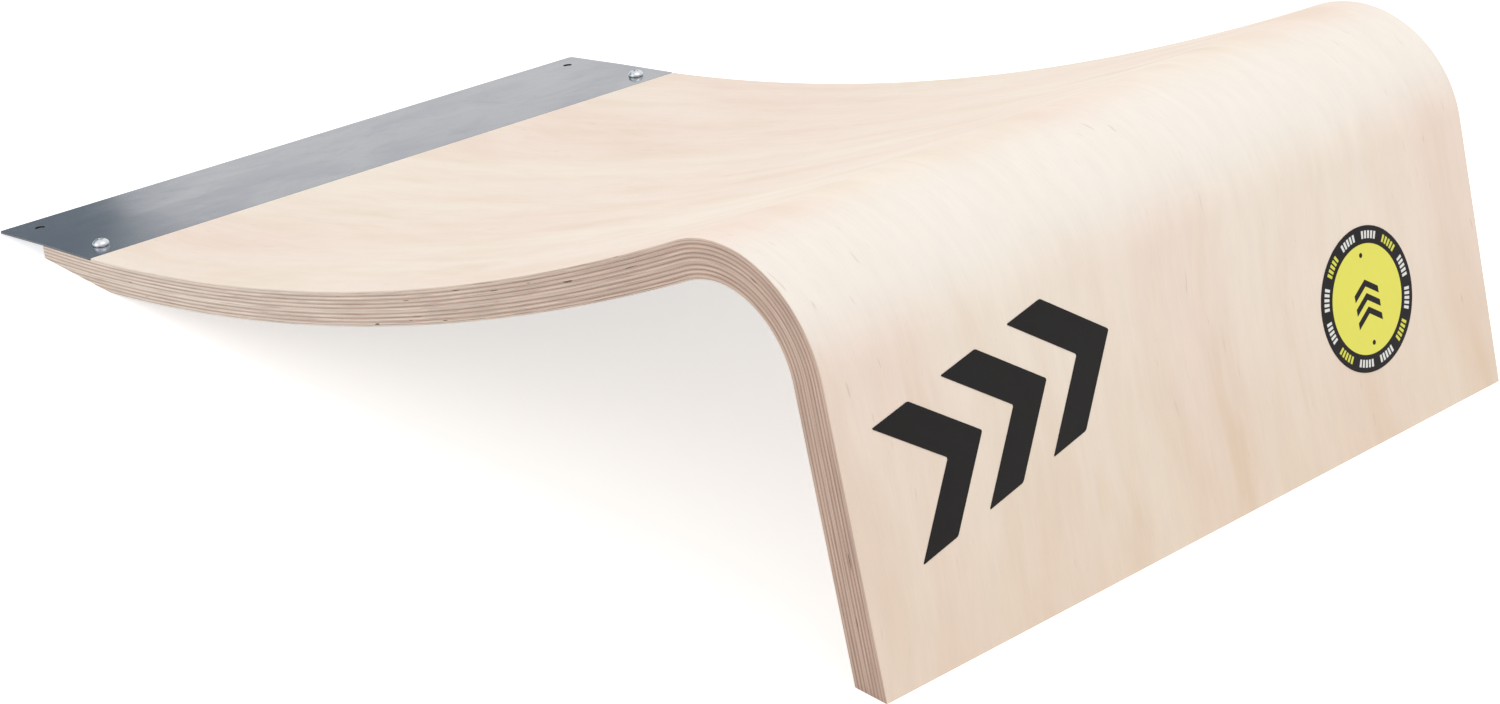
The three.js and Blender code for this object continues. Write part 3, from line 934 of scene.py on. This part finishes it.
def yellowPrint():
    # yellow disc, black ring with groups of plain ticks, three arrow strokes and two dots
    material, tree, shader = newMaterial("labelFilm", Specular_IOR_Level=dial["gloss"])
    film = useGroup(tree, filmGroup, {"Base Roughness": dial["roughness"]})
    where = place(tree, "Mapping", {"Vector": place(tree, "TexCoord").outputs["Object"],
                                    "Location": labelFrame.to_translation(),
                                    "Rotation": labelFrame.to_euler()}, vector_type="TEXTURE").outputs[0]
    parts = place(tree, "SeparateXYZ", {0: where}).outputs
    x, y = parts[0], parts[1]

    def above(value, low, soft=dial["soft"]):
        return remap(tree, value, low - soft, low + soft, smooth=False)

    def below(value, high, soft=dial["soft"]):
        return remap(tree, value, high - soft, high + soft, 1.0, 0.0, smooth=False)

    def repeated(count, share, soft):
        step = calc(tree, "FRACT", times(tree, turn, count))
        return times(tree, above(step, 0.5 - share / 2, soft), below(step, 0.5 + share / 2, soft))

    reach = distance(tree, x, y)
    turn = calc(tree, "MULTIPLY_ADD", calc(tree, "ARCTAN2", y, x), 1 / (2 * pi), 1.0)
    ring = above(reach, dial["ringInside"])
    ticks = times(tree, repeated(dial["tickCount"], dial["tickShare"], dial["tickSoft"]),
                  repeated(dial["groupCount"], dial["groupShare"], dial["groupSoft"]))
    tickBand = times(tree, above(reach, dial["tickInside"]), below(reach, dial["tickOutside"]))
    ticks = times(tree, ticks, tickBand)
    yellowGroup = repeated(dial["groupCount"] / dial["yellowEvery"], 1 / dial["yellowEvery"],
                           dial["yellowSoft"])

    # the arrows are slanted bands, cut off at both sides and at the stack's two ends
    stack = dial["arrowPitch"] * dial["arrowCount"]
    lift = calc(tree, "MULTIPLY_ADD", calc(tree, "ABSOLUTE", x), dial["arrowSlope"], y)
    lift = calc(tree, "ADD", lift, (stack - dial["arrowHalfWidth"] * dial["arrowSlope"]) / 2)
    step = times(tree, calc(tree, "FRACT", calc(tree, "DIVIDE", lift, dial["arrowPitch"])),
                 dial["arrowPitch"])
    arrows = times(tree, above(step, 0.0), below(step, dial["arrowStroke"]))
    arrows = times(tree, arrows, times(tree, above(lift, -dial["arrowSlack"]),
                                       below(lift, stack - dial["arrowSlack"])))
    arrows = times(tree, arrows, below(calc(tree, "ABSOLUTE", x), dial["arrowHalfWidth"]))
    dots = below(distance(tree, x, calc(tree, "SUBTRACT", calc(tree, "ABSOLUTE", y), dial["dotPlace"])),
                 dial["dotRadius"])
    ink = calc(tree, "MAXIMUM", calc(tree, "MAXIMUM", ring, arrows), dots)
    color = blendColors(tree, ink, blendColors(tree, film["Shade"], *dial["yellows"]), dial["ink"])
    color = blendColors(tree, ticks, color, blendColors(tree, yellowGroup, *dial["tickColors"]))
    dressShader(tree, shader, color, film["Roughness"], film["Height"], filmLook["bump"])
    return material


labelFilm = yellowPrint()


def pressFilm(name, bm, material, frameHere, slot, node):
    # a flat outline becomes a thin film with a softened top edge
    extrudeBy(bm, bm.faces[:], 0, 0, label["thickness"])
    bmesh.ops.recalc_face_normals(bm, faces=bm.faces)

    def onRim(edge):
        return edge.calc_face_angle(0) > label["sharpCorner"] and all(v.co.z > 0 for v in edge.verts)

    easeEdges(bm, onRim, label["edgeRadius"], segments=1)
    bmesh.ops.transform(bm, matrix=frameHere, verts=bm.verts)
    handOver(finishMesh(name, bm, material, label["smoothAngle"]), slot, node)


def makeLabel():
    bm = bmesh.new()
    bmesh.ops.create_circle(bm, cap_ends=True, radius=label["diameter"] / 2, segments=label["steps"])
    pressFilm("roundLabel", bm, labelFilm, labelFrame, "label_film", "round_label")


def makeChevron(index):
    # one arrow stroke; its point is to the right
    half, stroke, point = chevron["height"] / 2, chevron["stroke"], chevron["point"]
    corners = [(0, -half), (stroke, -half), (stroke + point, 0), (stroke, half), (0, half), (point, 0)]
    bm = bmesh.new()
    bm.faces.new([bm.verts.new((x, y, 0)) for x, y in corners])
    easeCorners(bm, bm.verts[:], chevron["cornerRadius"], chevron["cornerSteps"])
    rowLength = (chevron["count"] - 1) * chevron["pitch"] + stroke + point
    here = onLegFace(chevron["place"], chevron["tilt"]) @ Matrix.Translation(
        (index * chevron["pitch"] - rowLength / 2, 0, 0))
    pressFilm(f"chevronDecal{index + 1}", bm, blackFilm, here, "black_film", f"chevron_decal_{index + 1}")


makeLabel()
for index in range(chevron["count"]):
    makeChevron(index)
print("label and chevrons made")


studio = {
    "floorSize": 12.0,
    "floorColor": srgb(232, 231, 230),
    "floorRoughness": 0.9,
    "floorGlow": 0.62,        # added for the camera and for reflections only
    "holeShade": (0.007, 0.016),      # how far the deep shade below an open hole reaches
    "shadeColor": srgb(70, 69, 68),
    "worldLight": 0.72,
    "lampAim": (0.0, 0.05, 0.05),
    "lamps": {
        "softKey": {"power": 26.5, "size": 2.0, "place": (-0.30, 1.05, 2.75)},
        "softFill": {"power": 2.4, "size": 0.9, "place": (1.45, -0.55, 0.60)},
    },
    "cardColor": (0.256, 0.306, 0.355, 1),
    "cardPlace": (-0.60, 0.75, -1.25),      # its left and right ends, and y
    "cardHeight": 0.7,
    "cardEdge": (-0.291, 0.124),      # a point on its left edge, which leans and fades out upwards
    "cardLean": 0.50,
    "cardFade": (0.03, 2.6),      # the edge's least width, and how fast it widens upwards
}


def seenDirectly(tree):
    # 1 for the camera and for what metal and glass reflect or let through
    path = place(tree, "LightPath").outputs
    seen = calc(tree, "MAXIMUM", path["Is Camera Ray"], path["Is Glossy Ray"])
    return calc(tree, "MAXIMUM", seen, path["Is Transmission Ray"])


def makeFloor():
    material, tree, shader = newMaterial("paleFloor", Roughness=studio["floorRoughness"],
                                         Specular_IOR_Level=0.0)
    # the shade is for the camera alone, so the plate's underside doesn't mirror it
    unseen = calc(tree, "SUBTRACT", 1.0, place(tree, "LightPath").outputs["Is Camera Ray"])
    openFloor = calc(tree, "MAXIMUM", remap(tree, fromOpenHole(tree), *studio["holeShade"]), unseen)
    color = blendColors(tree, openFloor, studio["shadeColor"], studio["floorColor"])
    tree.links.new(color, shader.inputs["Base Color"])
    strength = times(tree, seenDirectly(tree), times(tree, openFloor, studio["floorGlow"]))
    glow = place(tree, "Emission", {"Color": (1, 1, 1, 1), "Strength": strength})
    both = place(tree, "AddShader", {0: shader.outputs[0], 1: glow.outputs[0]})
    # seen from below the floor is clear, so the ramp's underside shows
    clear = place(tree, "BsdfTransparent", {"Color": (1, 1, 1, 1)})
    behind = place(tree, "NewGeometry").outputs["Backfacing"]
    oneSided = place(tree, "MixShader", {0: behind, 1: both.outputs[0], 2: clear.outputs[0]})
    tree.links.new(oneSided.outputs[0], tree.nodes["Material Output"].inputs["Surface"])
    bm = bmesh.new()
    bmesh.ops.create_grid(bm, x_segments=1, y_segments=1, size=studio["floorSize"] / 2)
    finishMesh("floor", bm, material)


def makeWorld():
    world = bpy.data.worlds.new("softStudio")
    scene.world = world
    world.use_nodes = True
    tree = world.node_tree
    background = tree.nodes["Background"]
    background.inputs["Color"].default_value = (1, 1, 1, 1)
    strength = remap(tree, seenDirectly(tree), 0.0, 1.0, studio["worldLight"], 1.0, smooth=False)
    tree.links.new(strength, background.inputs["Strength"])


def makeLamps():
    for name, values in studio["lamps"].items():
        lamp = bpy.data.lights.new(name, "AREA")
        lamp.shape = "SQUARE"
        lamp.size = values["size"]
        lamp.energy = values["power"]
        stand = bpy.data.objects.new(name, lamp)
        scene.collection.objects.link(stand)
        spot = Vector(values["place"])
        turn = (Vector(studio["lampAim"]) - spot).to_track_quat("-Z", "Y")
        stand.matrix_world = Matrix.Translation(spot) @ turn.to_matrix().to_4x4()


def makeCard():
    # a grey card that only reflections see, so that the steel reads as metal
    material, tree, shader = newMaterial("greyCard", Roughness=1.0, Base_Color=(0, 0, 0, 1),
                                         Emission_Strength=1.0)
    edgeX, edgeZ = studio["cardEdge"]
    fade, fadeGain = studio["cardFade"]
    spot = spotOf(tree)
    up = calc(tree, "SUBTRACT", spot[2], edgeZ)
    inside = calc(tree, "SUBTRACT", calc(tree, "MULTIPLY_ADD", up, studio["cardLean"], spot[0]), edgeX)
    fadeHere = calc(tree, "MAXIMUM", calc(tree, "MULTIPLY_ADD", up, fadeGain, fade), fade)
    onCard = remap(tree, calc(tree, "DIVIDE", inside, fadeHere), -0.5, 0.5)      # half on either side
    color = blendColors(tree, onCard, (1, 1, 1, 1), studio["cardColor"])
    tree.links.new(color, shader.inputs["Emission Color"])
    bm = bmesh.new()
    bmesh.ops.create_grid(bm, x_segments=1, y_segments=1, size=0.5)
    left, right, y = studio["cardPlace"]
    stand = Matrix.Translation(((left + right) / 2, y, studio["cardHeight"] / 2)) @ Matrix.Rotation(
        pi / 2, 4, "X") @ Matrix.Diagonal((right - left, studio["cardHeight"], 1, 1))
    bmesh.ops.transform(bm, matrix=stand, verts=bm.verts)
    card = finishMesh("greyCard", bm, material)
    card.visible_camera = False
    card.visible_diffuse = False
    card.visible_shadow = False
    card.visible_transmission = False


view = {
    "location": (1.06396, 1.18640, 0.69806),
    "rotation": (1.140511, 0.031163, 2.425785),
    "lens": 67.468,
    "sensor": 36.0,
    "shiftX": 0.0897,
}


def makeCamera():
    camera = bpy.data.cameras.new("photoView")
    camera.lens = view["lens"]
    camera.sensor_width = view["sensor"]
    camera.sensor_fit = "HORIZONTAL"
    camera.shift_x = view["shiftX"]
    photoView = bpy.data.objects.new("photoView", camera)
    scene.collection.objects.link(photoView)
    photoView.matrix_world = Matrix.Translation(view["location"]) @ Euler(
        view["rotation"]).to_matrix().to_4x4()
    scene.camera = photoView


makeFloor()
makeWorld()
makeLamps()
makeCard()
makeCamera()
print("studio set")
